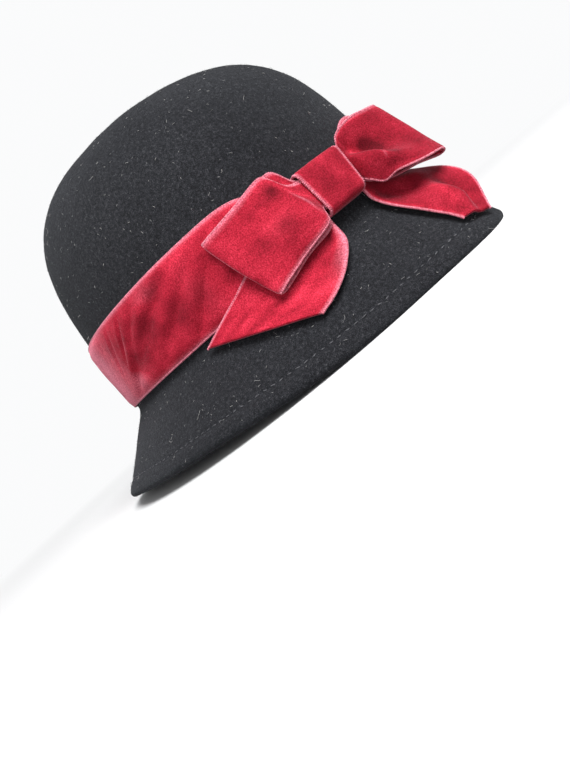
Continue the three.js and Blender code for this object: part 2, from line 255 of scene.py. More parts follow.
def brim_reach(angle):
    """Reach of the brim beyond the headline."""
    mean = (BRIM_FRONT + BRIM_BACK + BRIM_LEFT + BRIM_RIGHT) / 4
    oval = (BRIM_FRONT + BRIM_BACK - BRIM_LEFT - BRIM_RIGHT) / 4
    forward = (BRIM_FRONT - BRIM_BACK) / 2
    sideways = (BRIM_LEFT - BRIM_RIGHT) / 2
    from_wave = np.arctan2(np.sin(angle - WAVE_ANGLE), np.cos(angle - WAVE_ANGLE))
    return (
        mean
        + forward * np.cos(angle)
        + sideways * np.sin(angle)
        + oval * np.cos(2 * angle)
        + BRIM_WAVE * np.exp(-((from_wave / WAVE_SPREAD) ** 2))
    )


def brim_lift(angle):
    """Height of the brim's edge, which is turned up at the wearer's right."""
    resting = math.sin(REST_ARC) ** 2
    turned = np.clip((np.sin(angle) ** 2 - resting) / (1 - resting), 0, None)
    return np.where(np.sin(angle) < 0, BRIM_RIGHT_LIFT * turned**1.2, 0)


def flare(drop):
    """Share of the reach gained at a share of the drop."""
    soft = BREAK_SOFTNESS / HEADLINE_HEIGHT
    gained = lambda share: share - soft * (1 - np.exp(-share / soft))
    return gained(drop) / gained(1)


def hat_point(angle, height):
    """Outside of the felt at an angle and a height above the table."""
    angle, height = np.broadcast_arrays(np.asarray(angle, float), np.asarray(height, float))
    x = HALF_WIDTH * np.sin(angle)
    y = -HALF_LENGTH * np.cos(angle)
    share = np.clip((height - HEADLINE_HEIGHT) / CROWN_HEIGHT, 0, 1)
    plan = (1 - share**SIDE_POWER) ** (1 / TIP_POWER) * (1 - CROWN_TAPER / HALF_LENGTH * share)
    lean = CROWN_LEAN / HALF_LENGTH * share**2 * y * plan
    crown = np.stack([x * plan, y * plan + CROWN_SETBACK * share, height + lean], -1)
    drop = np.clip(1 - height / HEADLINE_HEIGHT, 0, None)
    reach = brim_reach(angle) * flare(drop)
    low = HEADLINE_HEIGHT - drop * (HEADLINE_HEIGHT - brim_lift(angle))
    brim = np.stack([x + reach * np.sin(angle), y - reach * np.cos(angle), low], -1)
    return np.where((height >= HEADLINE_HEIGHT)[..., None], crown, brim)


def unit(vectors):
    return vectors / np.linalg.norm(vectors, axis=-1, keepdims=True)


def hat_normal(angle, height):
    """Outward direction there, over a short span so that the break stays soft."""
    span = 3
    turn = span / HALF_WIDTH
    around = hat_point(angle + turn, height) - hat_point(angle - turn, height)
    up = hat_point(angle, height + span) - hat_point(angle, height - span)
    return unit(np.cross(around, up))


def bow_point(out, height, lift):
    """A place on the bow: way round from the knot, height, lift off the felt."""
    angle = KNOT_ANGLE + np.asarray(out) / HALF_WIDTH
    return hat_point(angle, height) + hat_normal(angle, height) * np.asarray(lift)[..., None]


def grid_normals(grid, closed=False):
    """Normals of a grid of points, rows by columns."""
    if closed:
        across = np.roll(grid, -1, 1) - np.roll(grid, 1, 1)
    else:
        across = np.gradient(grid, axis=1)
    return unit(np.cross(across, np.gradient(grid, axis=0)))


def along(points, shares):
    """Places at the shares of a smooth centripetal curve through the points."""
    points = np.asarray(points, float)
    padded = np.vstack([2 * points[0] - points[1], points, 2 * points[-1] - points[-2]])
    places = []
    for share in shares:
        spot = share * (len(points) - 1)
        first = min(int(spot), len(points) - 2)
        w = spot - first
        a, b, c, d = padded[first : first + 4]
        steps = [np.linalg.norm(q - p) ** 0.5 for p, q in ((a, b), (b, c), (c, d))]
        mid = max(steps[1], 1e-3)
        before, after = (s if s > 1e-3 else mid for s in (steps[0], steps[2]))
        leave = ((b - a) / before - (c - a) / (before + mid) + (c - b) / mid) * mid
        arrive = ((c - b) / mid - (d - b) / (mid + after) + (d - c) / after) * mid
        bend = -3 * b + 3 * c - 2 * leave - arrive
        places.append(b + w * leave + w * w * bend + w**3 * (2 * b - 2 * c + leave + arrive))
    return np.array(places)


def smooth(low, high, value):
    """0 below low, 1 above high, soft between."""
    t = np.clip((value - low) / (high - low), 0, 1)
    return t * t * (3 - 2 * t)


def soft_noise(places, size, seed):
    """Smooth noise from -1 to 1 at places in millimetres, in lumps of that size."""
    shift = Vector((seed * 17.3, seed * 5.1, seed * 9.7))
    flat = places.reshape(-1, 3)
    values = [noise.noise(Vector(p) / size + shift) for p in flat]
    return np.array(values).reshape(places.shape[:-1])


# Meshes


def finish_piece(obj, slot, *nodes):
    """Every piece rides the hat's one body."""
    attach(obj, "root")
    if nodes:
        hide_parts(*nodes)
    return obj


def placed(points):
    """Millimetres round the crown's axis to metres in the frame."""
    return (points + hat_place) * MM


def object_of(name, points, faces, material, uv=None):
    """A smooth mesh object in the frame, from points in millimetres."""
    mesh = bpy.data.meshes.new(name)
    mesh.from_pydata(placed(points).tolist(), [], faces)
    mesh.polygons.foreach_set("use_smooth", [True] * len(mesh.polygons))
    if uv is not None:
        layer = mesh.uv_layers.new(name="ribbon")
        corner = np.empty(len(mesh.loops), int)
        mesh.loops.foreach_get("vertex_index", corner)
        layer.data.foreach_set("uv", (uv[corner] * MM).ravel())
    mesh.materials.append(material)
    mesh.update()
    obj = bpy.data.objects.new(name, mesh)
    bpy.context.scene.collection.objects.link(obj)
    return obj


def ring_faces(count_rings, count, joined):
    """Four-sided faces between rings that follow one another."""
    faces = []
    for i in range(count_rings if joined else count_rings - 1):
        n = (i + 1) % count_rings
        for j in range(count):
            k = (j + 1) % count
            faces.append((i * count + j, n * count + j, n * count + k, i * count + k))
    return faces


def felt_rings():
    """Rings of the felt from the crown's tip over the brim's edge and up inside."""
    angles = np.linspace(0, 2 * math.pi, AROUND, endpoint=False)
    turn = math.pi / 2 * (1 - (np.arange(CROWN_ROWS) + 0.3) / (CROWN_ROWS - 0.7))
    crown = HEADLINE_HEIGHT + CROWN_HEIGHT * np.sin(turn) ** (2 / SIDE_POWER)
    slope = HEADLINE_HEIGHT + (BRIM_END - HEADLINE_HEIGHT) * np.linspace(0, 1, BRIM_ROWS + 1)[1:]
    heights = np.concatenate([crown, slope])
    outer = hat_point(angles[None, :], heights[:, None])
    normals = -grid_normals(outer, closed=True)

    free = smooth(BAND_MIDDLE + RIBBON_WIDTH / 2, BAND_MIDDLE + RIBBON_WIDTH, heights)
    free = free + 1 - smooth(HEADLINE_HEIGHT - 14, HEADLINE_HEIGHT - 4, heights)
    uneven = FELT_UNEVEN * soft_noise(outer, FELT_LUMP, 1)
    uneven = uneven + FELT_DIMPLE * soft_noise(outer, FELT_LUMP / 4, 2)
    from_seam = (heights - HEM_TOP) * math.hypot(HEADLINE_HEIGHT, BRIM_RIGHT) / HEADLINE_HEIGHT
    groove = -SEAM_DEPTH * np.exp(-((from_seam / SEAM_WIDTH) ** 2))
    over_hem = np.clip(-from_seam / HEM_WIDTH, 0, 1)
    swell = HEM_SWELL * np.where(from_seam < 0, np.sin(over_hem * math.pi), 0)
    lift = uneven * free[:, None] + (groove + swell)[:, None]
    outer = outer + normals * lift[..., None]

    last, before = outer[-1], outer[-2]
    down = unit(last - before)
    turns = math.pi * np.arange(1, EDGE_ROWS) / EDGE_ROWS
    edge = [
        last + normals[-1] * EDGE_RADIUS * (math.cos(t) - 1) + down * EDGE_RADIUS * math.sin(t)
        for t in turns
    ]
    inside = outer - normals * FELT
    step = smooth(HEM_TOP, HEM_TOP + HEM_STEP, heights)[:, None, None]
    inside = inside - normals * (2 * EDGE_RADIUS - FELT) * (1 - step)
    rings = np.concatenate([outer, np.array(edge), inside[::-1]])
    rings[..., 2] = np.maximum(rings[..., 2], 0)
    return rings, outer, heights


hat_place = np.zeros(3)
felt_form, felt_outside, felt_heights = felt_rings()
own_middle = (felt_form.reshape(-1, 3).max(0) + felt_form.reshape(-1, 3).min(0)) / 2
hat_place = np.array([*((felt_low + felt_high) / 2 - own_middle)[:2], 0])


# Materials


def material_of(name, paint):
    """A material whose nodes are laid out by paint(tree, shader)."""
    material = bpy.data.materials.new(name)
    material.use_nodes = True
    tree = material.node_tree
    tree.nodes.clear()
    output = tree.nodes.new("ShaderNodeOutputMaterial")
    shader = tree.nodes.new("ShaderNodeBsdfPrincipled")
    tree.links.new(shader.outputs["BSDF"], output.inputs["Surface"])
    paint(tree, shader)
    return material


def noise_node(tree, coordinates, scale, detail=3.0, rough=0.5):
    node = tree.nodes.new("ShaderNodeTexNoise")
    node.inputs["Scale"].default_value = scale
    node.inputs["Detail"].default_value = detail
    node.inputs["Roughness"].default_value = rough
    tree.links.new(coordinates, node.inputs["Vector"])
    return node.outputs["Fac"]


def ramp_node(tree, value, stops):
    """Colours by value. A stop is a place and a colour."""
    node = tree.nodes.new("ShaderNodeValToRGB")
    for i, (place, colour) in enumerate(stops):
        element = node.color_ramp.elements[i] if i < 2 else node.color_ramp.elements.new(place)
        element.position = place
        element.color = (*colour, 1)
    tree.links.new(value, node.inputs["Fac"])
    return node.outputs["Color"]


def mix_node(tree, share, a, b, blend="MIX"):
    node = tree.nodes.new("ShaderNodeMix")
    node.data_type = "RGBA"
    node.blend_type = blend
    sockets = [s for s in node.inputs if s.enabled]
    for socket, value in zip(sockets, (share, a, b)):
        if isinstance(value, bpy.types.NodeSocket):
            tree.links.new(value, socket)
        else:
            socket.default_value = value if isinstance(value, float) else (*value, 1)
    return [s for s in node.outputs if s.enabled][0]


def maths(tree, operation, a, b=0.0):
    node = tree.nodes.new("ShaderNodeMath")
    node.operation = operation
    for socket, value in zip(node.inputs, (a, b)):
        if isinstance(value, bpy.types.NodeSocket):
            tree.links.new(value, socket)
        else:
            socket.default_value = value
    return node.outputs["Value"]


def bump(tree, shader, height, distance, strength=1.0, under=None):
    node = tree.nodes.new("ShaderNodeBump")
    node.inputs["Distance"].default_value = distance
    node.inputs["Strength"].default_value = strength
    tree.links.new(height, node.inputs["Height"])
    if under is not None:
        tree.links.new(under, node.inputs["Normal"])
    tree.links.new(node.outputs["Normal"], shader.inputs["Normal"])
    return node.outputs["Normal"]


def object_coordinates(tree):
    return tree.nodes.new("ShaderNodeTexCoord").outputs["Object"]


def stretched(tree, coordinates, scale):
    node = tree.nodes.new("ShaderNodeMapping")
    node.inputs["Scale"].default_value = scale
    tree.links.new(coordinates, node.inputs["Vector"])
    return node.outputs["Vector"]


# Grain of each finish, in lumps to the metre
FLECK_GRAIN = 3000
CLUMP_GRAIN = 800
CLOUD_GRAIN = 26
BRUSH_GRAIN = 85
PILE_GRAIN = 3200
TUFT_GRAIN = 1900
WEAVE_GRAIN = 1400
TWIST_GRAIN = 2500
LINT_GRAIN = 120

# Paler colour for the woven edges, one nap patch and painted highlights; darker colour for painted
# shade
PALE_EDGE_AND_HIGHLIGHT_VELVET = (0.84, 0.21, 0.3)
PAINTED_SHADE_VELVET = (0.12, 0.002, 0.008)


def paint_felt(tree, shader):
    """Matted wool: charcoal with paler flecks, cloudy patches and a short dull nap."""
    where = object_coordinates(tree)
    flecks = noise_node(tree, where, FLECK_GRAIN, 4, 0.7)
    clumps = noise_node(tree, where, CLUMP_GRAIN, 3, 0.6)
    clouds = noise_node(tree, where, CLOUD_GRAIN, 3, 0.5)
    fine = maths(tree, "MULTIPLY", flecks, 0.72)
    coarse = maths(tree, "MULTIPLY", clumps, 0.28)
    mixed = maths(tree, "ADD", fine, coarse)
    tint = ramp_node(
        tree,
        mixed,
        [
            (0.38, (0.003, 0.0031, 0.0038)),
            (0.5, (0.0128, 0.0133, 0.0158)),
            (0.6, (0.038, 0.039, 0.044)),
            (0.68, (0.15, 0.15, 0.158)),
        ],
    )
    cloudy = ramp_node(tree, clouds, [(0.3, (0.8, 0.8, 0.82)), (0.7, (1.15, 1.15, 1.15))])
    colour = mix_node(tree, 1.0, tint, cloudy, "MULTIPLY")
    tree.links.new(colour, shader.inputs["Base Color"])
    shader.inputs["Roughness"].default_value = 0.95
    shader.inputs["Specular IOR Level"].default_value = 0.12
    shader.inputs["Sheen Weight"].default_value = 0.05
    shader.inputs["Sheen Roughness"].default_value = 0.55
    shader.inputs["Sheen Tint"].default_value = (0.88, 0.92, 1.0, 1)
    under = bump(tree, shader, clumps, 0.0005, 0.5)
    bump(tree, shader, flecks, 0.0003, 0.7, under)


def paint_velvet(tree, shader):
    """Cut pile: raspberry red with brushed and grainy tone, paler along the woven edges and in one
    nap patch, with painted highlights on ridges, lips and fold turns and painted shade in hollows,
    creases, under loops and over pieces that face the lamp.
    """
    where = object_coordinates(tree)
    ribbon = tree.nodes.new("ShaderNodeUVMap")
    ribbon.uv_map = "ribbon"
    lengthwise = stretched(tree, ribbon.outputs["UV"], (0.8, 1.2, 1))
    brushed = noise_node(tree, lengthwise, BRUSH_GRAIN, 3, 0.45)
    pile = noise_node(tree, where, PILE_GRAIN, 2, 0.6)
    tufts = noise_node(tree, where, TUFT_GRAIN, 3, 0.65)
    tint = ramp_node(
        tree,
        brushed,
        [
            (0.3, (0.26, 0.005, 0.017)),
            (0.5, (0.43, 0.012, 0.032)),
            (0.7, (0.6, 0.024, 0.054)),
        ],
    )
    grain = ramp_node(
        tree,
        tufts,
        [
            (0.36, (0.6, 0.5, 0.52)),
            (0.5, (1.0, 1.0, 1.0)),
            (0.64, (1.35, 2.1, 1.8)),
        ],
    )
    # Painted light: above zero the attribute paints highlights and pales the woven edges, below
    # zero it paints shade in hollows, creases and over pieces that face the lamp
    lie_and_painted_light = tree.nodes.new("ShaderNodeAttribute")
    lie_and_painted_light.attribute_name = "pile_lie"
    turned = maths(tree, "MULTIPLY", lie_and_painted_light.outputs["Fac"], -1.0)
    pale_and_highlight_share = maths(tree, "MINIMUM", maths(tree, "MAXIMUM", lie_and_painted_light.outputs["Fac"], 0.0), 1.0)
    painted_shade_share = maths(tree, "MINIMUM", maths(tree, "MAXIMUM", turned, 0.0), 1.0)
    painted_shade_mix = mix_node(tree, painted_shade_share, tint, PAINTED_SHADE_VELVET)
    paler = mix_node(tree, pale_and_highlight_share, painted_shade_mix, PALE_EDGE_AND_HIGHLIGHT_VELVET)
    colour = mix_node(tree, 1.0, paler, grain, "MULTIPLY")
    tree.links.new(colour, shader.inputs["Base Color"])
    shader.inputs["Roughness"].default_value = 0.85
    shader.inputs["Specular IOR Level"].default_value = 0.15
    shader.inputs["Sheen Weight"].default_value = 0.75
    shader.inputs["Sheen Roughness"].default_value = 0.26
    shader.inputs["Sheen Tint"].default_value = (1.0, 0.34, 0.43, 1)
    under = bump(tree, shader, tufts, 0.0004, 0.5)
    bump(tree, shader, pile, 0.0002, 0.6, under)


def paint_selvedge(tree, shader):
    """Woven edge of the ribbon, paler than the pile."""
    where = object_coordinates(tree)
    weave = noise_node(tree, where, WEAVE_GRAIN, 3, 0.5)
    tint = ramp_node(tree, weave, [(0.36, (0.42, 0.06, 0.1)), (0.64, (0.8, 0.25, 0.33))])
    tree.links.new(tint, shader.inputs["Base Color"])
    shader.inputs["Roughness"].default_value = 0.7
    shader.inputs["Sheen Weight"].default_value = 0.4
    shader.inputs["Sheen Tint"].default_value = (1.0, 0.7, 0.75, 1)
    bump(tree, shader, weave, 0.0001, 0.6)


def paint_thread(tree, shader):
    """Grey sewing thread with a twist."""
    twist = noise_node(tree, object_coordinates(tree), TWIST_GRAIN, 2, 0.5)
    tint = ramp_node(tree, twist, [(0.35, (0.03, 0.031, 0.036)), (0.65, (0.13, 0.13, 0.145))])
    tree.links.new(tint, shader.inputs["Base Color"])
    shader.inputs["Roughness"].default_value = 0.6
    bump(tree, shader, twist, 0.00005, 0.5)


def paint_lint(tree, shader):
    """Loose pale fibres."""
    mottle = noise_node(tree, object_coordinates(tree), LINT_GRAIN, 2, 0.5)
    tint = ramp_node(tree, mottle, [(0.3, (0.14, 0.14, 0.145)), (0.7, (0.6, 0.59, 0.57))])
    tree.links.new(tint, shader.inputs["Base Color"])
    shader.inputs["Roughness"].default_value = 0.8


felt_nap = material_of("felt_nap", paint_felt)
velvet_pile = material_of("velvet_pile", paint_velvet)
velvet_selvedge = material_of("velvet_selvedge", paint_selvedge)
hem_thread = material_of("hem_thread", paint_thread)
loose_lint = material_of("loose_lint", paint_lint)


# Felt


def make_felt():
    """The felt's rings joined, with a small cap on each end at the crown's tip."""
    rings = felt_form
    count_rings, count = rings.shape[:2]
    points = list(rings.reshape(-1, 3))
    faces = ring_faces(count_rings, count, joined=False)
    for ring, turned in ((0, False), (count_rings - 1, True)):
        pole = len(points)
        points.append(rings[ring].mean(0))
        for j in range(count):
            a, b = ring * count + j, ring * count + (j + 1) % count
            faces.append((pole, b, a) if turned else (pole, a, b))
    return object_of("felt_hat", np.array(points), faces, felt_nap)


finish_piece(make_felt(), "felt_body", "felt_body")


# Velvet


# Painted light on the velvet, and one paler patch on the band where its pile lies differently: a
# positive amount paints a highlight on a ridge, lip or fold turn, a negative one paints shade in a
# hollow, a crease, a gap under a loop, or over a whole piece that faces the lamp.
# Piece, place along and across as shares, reach along and across, amount
PILE_LIE_AND_PAINTED_LIGHT = [
    ("velvet_loop_right", 0.533, 0.5, 0.012, 3, 0.9),
    ("velvet_loop_right", 0.345, 0.22, 0.016, 0.1, -0.9),
    ("velvet_loop_right", 0.375, 0.6, 0.016, 0.12, -0.45),
    ("velvet_loop_right", 0.255, 0.6, 0.016, 0.2, 0.4),
    ("velvet_loop_right", 0.4, 0.52, 0.05, 0.12, -0.3),
    ("velvet_loop_left", 0.533, 0.5, 0.01, 3, 0.7),
    ("velvet_loop_left", 0.34, 0.74, 0.03, 0.07, -1.0),
    ("velvet_loop_left", 0.365, 0.64, 0.022, 0.07, -0.9),
    ("velvet_loop_left", 0.345, 0.42, 0.022, 0.12, -0.6),
    ("velvet_loop_left", 0.4, 0.5, 0.05, 0.2, -0.35),
    ("velvet_loop_left", 0.272, 0.6, 0.014, 0.12, 0.5),
    ("velvet_loop_left", 0.292, 0.34, 0.014, 0.12, 0.5),
    ("velvet_tail_right", 0.42, 1, 0.12, 0.15, 0.5),
    ("velvet_tail_right", 0.6, 1, 0.14, 0.1, 0.6),
    ("velvet_tail_right", 0.57, 0.79, 0.1, 0.05, -0.9),
    ("velvet_tail_right", 0.62, 0.1, 0.14, 0.22, -0.4),
    ("velvet_tail_left", 0.27, 0.05, 0.1, 0.2, 0.8),
    ("velvet_tail_left", 0.6, 0.62, 0.04, 0.07, 0.3),
    ("velvet_tail_left", 0.66, 0.5, 0.04, 0.07, 0.3),
    ("velvet_tail_left", 0.72, 0.38, 0.04, 0.07, 0.3),
    ("velvet_tail_left", 0.78, 0.28, 0.04, 0.07, 0.3),
    ("velvet_tail_left", 0.85, 0.21, 0.04, 0.07, 0.3),
    ("velvet_tail_left", 0.58, 0.88, 0.14, 0.13, -0.9),
    ("velvet_tail_left", 0.73, 0.62, 0.07, 0.12, -0.6),
    ("velvet_knot", 0.5, 0.5, 9, 9, -0.25),
    ("velvet_loop_left", 0.5, 0.5, 9, 9, -0.3),
    ("velvet_tail_left", 0.5, 0.5, 9, 9, -0.38),
    ("velvet_band", 0.728, 0.5, 0.034, 1.2, 1.15),
    ("velvet_band", 0.785, 0.15, 0.012, 0.12, 0.4),
    ("velvet_band", 0.8, 0.4, 0.012, 0.18, -0.5),
    ("velvet_band", 0.828, 0.58, 0.012, 0.16, -0.6),
    ("velvet_band", 0.846, 0.86, 0.012, 0.1, 0.12),
    ("velvet_band", 0.862, 0.42, 0.012, 0.16, -0.5),
    ("velvet_band", 0.884, 0.4, 0.01, 0.26, -0.6),
]


def ribbon_object(name, sheet, joined=False):
    """A velvet ribbon from a sheet of points, thinner along its woven edges."""
    if joined:
        normals = grid_normals(np.concatenate([sheet[-1:], sheet, sheet[:1]]))[1:-1]
    else:
        normals = grid_normals(sheet)
    steps, across = sheet.shape[:2]
    width = np.linalg.norm(np.diff(sheet, axis=1), axis=2).sum(1, keepdims=True)
    share = np.linspace(0, 1, across)[None, :]
    inset = np.minimum(share, 1 - share) * width
    full = smooth(0, EDGE_INSET, inset)
    half = RIBBON / 2 * (EDGE_THIN + (1 - EDGE_THIN) * full)[..., None]
    rings = np.concatenate([sheet - normals * half, (sheet + normals * half)[:, ::-1]], axis=1)
    count = 2 * across
    faces = ring_faces(steps, count, joined)
    if not joined:
        last = (steps - 1) * count
        for j in range(across - 1):
            far = count - 1 - j
            faces.append((j, j + 1, far - 1, far))
            faces.append((last + j, last + far, last + far - 1, last + j + 1))
    middle = sheet[:, across // 2]
    run = np.concatenate([[0], np.cumsum(np.linalg.norm(np.diff(middle, axis=0), axis=1))])
    lengthways = np.repeat(run[:, None], count, 1)
    sideways = np.concatenate([share * width, (share * width)[:, ::-1]], axis=1)
    uv = np.stack([lengthways, sideways], -1).reshape(-1, 2)
    # pale holds the paler woven edges; the table then adds painted highlights where positive and
    # painted shade where negative
    pale = EDGE_PALE * (1 - smooth(PALE_INSET, EDGE_INSET, inset)) + 0 * lengthways[:, :across]
    for piece, at, over, reach, spread, amount in PILE_LIE_AND_PAINTED_LIGHT:
        if piece == name:
            lengthwise = (np.linspace(0, 1, steps)[:, None] - at) / reach
            pale = pale + amount * np.exp(-(lengthwise**2) - ((share - over) / spread) ** 2)
    obj = object_of(name, rings.reshape(-1, 3), faces, velvet_pile, uv)
    shade = obj.data.attributes.new("pile_lie", "FLOAT", "POINT")
    shade.data.foreach_set("value", np.concatenate([pale, pale[:, ::-1]], axis=1).ravel())
    return obj


# Creases of the band: angle round the crown, rise as a share of the ribbon's width,
# lean, and reach, spread and depth in millimetres
BAND_CREASES = [
    (-106, 0.2, 62, 9, 0.8, 0.35),
    (-101, -0.05, 60, 12, 0.9, 0.35),
    (-96, 0.2, 58, 9, 0.8, 0.45),
    (-92, 0.0, 56, 10, 0.9, 0.45),
    (-88, 0.25, 54, 8, 0.8, 0.5),
    (-84, 0.1, 52, 9, 0.9, 0.5),
    (-80, 0.3, 50, 7, 0.8, 0.5),
    (-84, -0.12, 42, 20, 1.8, 0.9),
    (-72, 0.05, 28, 22, 2.5, 1.5),
    (-61, -0.04, 34, 20, 2.3, 1.2),
    (-52, -0.1, 46, 17, 2.4, 1.5),
    (60, 0.1, -35, 16, 1.8, 0.7),
    (96, -0.1, -45, 16, 1.4, 0.7),
    (140, 0.0, -50, 16, 1.4, 0.7),
    (180, 0.1, 50, 16, 1.6, 0.7),
    (-150, 0.05, 48, 16, 1.4, 0.7),
]


def band_sheet():
    """The band is gathered where the knot holds it; the creases where it was pulled round are
    added in make_band.
    """
    turn = np.linspace(0, 2 * math.pi, BAND_AROUND, endpoint=False)
    angle = KNOT_ANGLE + turn
    away = np.minimum(turn, 2 * math.pi - turn) * HALF_WIDTH
    held = KNOT_WIDTH / 2 + 2 * RIBBON
    pinch = np.exp(-((np.clip(away - held, 0, None) / PINCH_REACH) ** 2))
    width = RIBBON_WIDTH + (PINCHED_WIDTH - RIBBON_WIDTH) * pinch
    middle = BAND_MIDDLE + (KNOT_HEIGHT - BAND_MIDDLE) * pinch
    share = np.linspace(-0.5, 0.5, ACROSS)
    height = middle[:, None] + width[:, None] * share[None, :]
    flat = hat_point(angle[:, None], height)
    normals = hat_normal(angle[:, None] + 0 * height, height)
    return flat, normals, angle, height, share, pinch


def make_band():
    """The band's sheet, lifted in low puffs and pushed in along its creases."""
    flat, normals, angle, height, share, pinch = band_sheet()
    inside = 1 - smooth(0.38, 0.5, np.abs(share))[None, :]
    lumps = 0.5 + 0.5 * soft_noise(flat * np.array([1, 1, 0.6]), BAND_LUMP, 5)
    ripple = 0.5 + 0.5 * soft_noise(flat, BAND_LUMP / 3, 6)
    lift = BAND_LIFT * lumps + BAND_LIFT / 4 * ripple
    round_back = ((angle + math.pi) % (2 * math.pi) - math.pi)[:, None]
    for at, rise, lean, reach, spread, depth in BAND_CREASES:
        way = (round_back - math.radians(at)) * HALF_WIDTH
        up = height - BAND_MIDDLE - rise * RIBBON_WIDTH
        turn = math.radians(lean)
        lengthways = way * math.cos(turn) + up * math.sin(turn)
        across = -way * math.sin(turn) + up * math.cos(turn)
        crease = np.exp(-((lengthways / reach) ** 2) - (across / spread) ** 2)
        lift = lift - depth * crease + 0.6 * depth * np.exp(
            -((lengthways / reach) ** 2) - ((across - 1.8 * spread) / spread) ** 2
        )
    lift = np.clip(lift, 0, None) * (0.25 + 0.75 * inside) * (1 - 0.9 * pinch[:, None])
    return flat + normals * (layer_height(0) + lift)[..., None]


def strip_sheet(rows, reach, side, steps, seed):
    """A loop or a tail through its sections; side is +1 to the wearer's left."""
    table = np.array(rows, float)
    layer = layer_height(table[:, LAYER])

    def edge(out, rise, puff):
        height = KNOT_HEIGHT + RIBBON_WIDTH * rise
        return bow_point(side * reach * out, height, layer + BOW_PUFF * puff)

    out_mid = (table[:, TOP_OUT] + table[:, LOW_OUT]) / 2
    rise_mid = (table[:, TOP_RISE] + table[:, LOW_RISE]) / 2
    top = edge(table[:, TOP_OUT], table[:, TOP_RISE], table[:, TOP_PUFF])
    low = edge(table[:, LOW_OUT], table[:, LOW_RISE], table[:, LOW_PUFF])
    middle = edge(out_mid, rise_mid, table[:, MID_PUFF])
    angle = KNOT_ANGLE + side * reach * out_mid / HALF_WIDTH
    outwards = hat_normal(angle, KNOT_HEIGHT + RIBBON_WIDTH * rise_mid)
    ridge = middle + outwards * (FOLD_DEPTH * table[:, FOLD])[:, None]
    shares = np.linspace(0, 1, steps + 1)
    top, middle, low, ridge = (along(line, shares)[:, None] for line in (top, middle, low, ridge))
    c = np.linspace(0, 1, ACROSS)[None, :, None]
    sheet = (1 - c) * (1 - 2 * c) * top + 4 * c * (1 - c) * middle + c * (2 * c - 1) * low
    turn = 2 * math.pi * c
    sheet = sheet - np.sin(turn - FOLD_SKEW * np.sin(turn)) * (ridge - middle)
    if side > 0:
        sheet = sheet[:, ::-1]
    from_knot = shares if rows in (TAIL_RIGHT, TAIL_LEFT) else np.minimum(shares, 1 - shares)
    loose = soft_noise(sheet, SOFT_LUMP, seed) * smooth(*HELD_SHARES, from_knot)[:, None]
    return sheet + grid_normals(sheet) * (SOFT_LIFT * loose)[..., None]


def knot_sheet():
    """A short turn of ribbon over the gathered middle."""
    half = PINCHED_WIDTH / 2 + CLEARANCE + RIBBON / 2
    face = layer_height(4)
    corner = [math.pi / 2 * i / 6 for i in range(7)]
    high = [
        (half + KNOT_CORNER * (math.cos(t) - 1), face + KNOT_CORNER * (math.sin(t) - 1))
        for t in corner
    ]
    low = [(-rise, lift) for rise, lift in high[::-1]]
    flat = [(share * (half - KNOT_CORNER), face) for share in np.linspace(0.8, -0.8, 9)]
    path = [(half, CLEARANCE), *high, *flat, *low, (-half, CLEARANCE)]
    rows = []
    for rise, lift in path:
        width = KNOT_WIDTH - KNOT_TAPER * (0.5 - rise / (2 * half))
        out = width * np.linspace(0.5, -0.5, ACROSS)
        rows.append(bow_point(out, KNOT_HEIGHT + rise + 0 * out, lift + 0 * out))
    return np.array(rows)


sheets = {
    "velvet_band": make_band(),
    "velvet_tail_right": strip_sheet(TAIL_RIGHT, TAIL_REACH, -1, STRIP_STEPS, 11),
    "velvet_tail_left": strip_sheet(TAIL_LEFT, TAIL_REACH, 1, STRIP_STEPS, 12),
    "velvet_loop_right": strip_sheet(LOOP_RIGHT, LOOP_REACH, -1, 2 * STRIP_STEPS, 13),
    "velvet_loop_left": strip_sheet(LOOP_LEFT, LOOP_REACH, 1, 2 * STRIP_STEPS, 14),
    "velvet_knot": knot_sheet(),
}
nodes_of = {
    "velvet_band": "ribbon_band",
    "velvet_tail_right": "bow_tail_right",
    "velvet_tail_left": "bow_tail_left",
    "velvet_loop_right": "bow_loop_right",
    "velvet_loop_left": "bow_loop_left",
    "velvet_knot": "bow_knot",
}
for name, sheet in sheets.items():
    ribbon = ribbon_object(name, sheet, joined=name == "velvet_band")
    finish_piece(ribbon, nodes_of[name], nodes_of[name])


# What repeats: stitches, selvedges and fibres


def node_tree(name, inputs):
    """A geometry node tree with a geometry in, a geometry out and named inputs."""
    tree = bpy.data.node_groups.new(name, "GeometryNodeTree")
    tree.interface.new_socket("Geometry", in_out="INPUT", socket_type="NodeSocketGeometry")
    for label, kind in inputs:
        tree.interface.new_socket(label, in_out="INPUT", socket_type=kind)
    tree.interface.new_socket("Geometry", in_out="OUTPUT", socket_type="NodeSocketGeometry")
    return tree, tree.nodes.new("NodeGroupInput"), tree.nodes.new("NodeGroupOutput")


def add(tree, kind, settings=(), **inputs):
    """A node; inputs are sockets to link or values to set, by name with _ for a space."""
    node = tree.nodes.new(kind)
    for key, value in dict(settings).items():
        setattr(node, key, value)
    for key, value in inputs.items():
        label = key.replace("_", " ")
        socket = next(s for s in node.inputs if s.name == label and s.enabled)
        if isinstance(value, bpy.types.NodeSocket):
            tree.links.new(value, socket)
        else:
            socket.default_value = value
    return node


def out(node, label):
    return next(s for s in node.outputs if s.name == label and s.enabled)


FLOAT, WHOLE, MATERIAL = "NodeSocketFloat", "NodeSocketInt", "NodeSocketMaterial"


